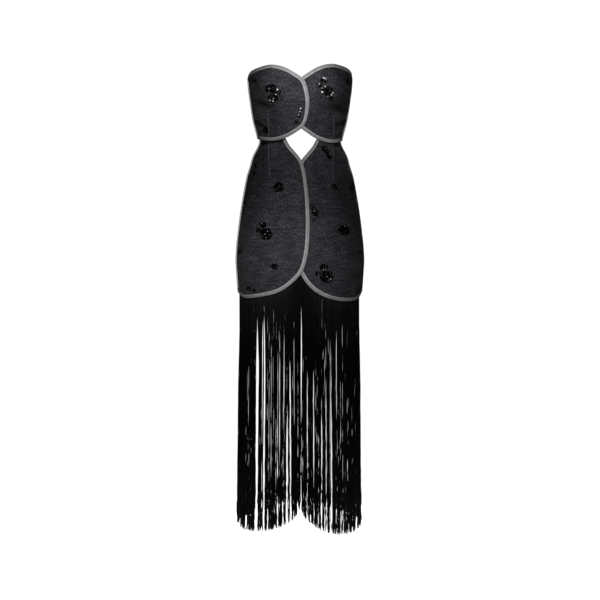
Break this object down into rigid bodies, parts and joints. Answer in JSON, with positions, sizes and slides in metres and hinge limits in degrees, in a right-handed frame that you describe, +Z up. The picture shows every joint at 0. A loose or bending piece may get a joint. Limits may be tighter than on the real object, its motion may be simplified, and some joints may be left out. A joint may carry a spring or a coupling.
{
  "type": "fringed maxi dress",
  "caption": "Strapless maxi dress of overlapping bound denim petals with waist cut-outs, scattered sequin flowers and a long fringe below the hem, in its worn form.",
  "frame": {"origin": "the middle of the waist, level with the bodice's lower edge, where the wearer carries the dress", "axes": "+Z up along the body, the front faces -Y, +X to the wearer's left"},
  "size_m": [0.361, 0.2655, 1.2966],
  "materials": {
    "denim": "dark charcoal denim, heathered twill",
    "binding": "mid-grey woven bias tape",
    "fringe": "black twisted cord fringe with a slight lustre"
  },
  "bodies": {
    "root": {"bodice_front_right": "denim", "bodice_front_left": "denim", "bodice_back_right": "denim", "bodice_back_left": "denim", "skirt_front_right": "denim", "skirt_front_left": "denim", "skirt_back_right": "denim", "skirt_back_left": "denim", "bodice_front_right_binding": "binding", "bodice_front_left_binding": "binding", "bodice_back_right_binding": "binding", "bodice_back_left_binding": "binding", "skirt_front_right_binding": "binding", "skirt_front_left_binding": "binding", "skirt_back_right_binding": "binding", "skirt_back_left_binding": "binding", "bodice_side_tape_right": "binding", "bodice_side_tape_left": "binding", "skirt_side_tape_right": "binding", "skirt_side_tape_left": "binding", "fringe_front_right": "fringe", "fringe_front_left": "fringe", "fringe_back_right": "fringe", "fringe_back_left": "fringe"}
  },
  "joints": []
}
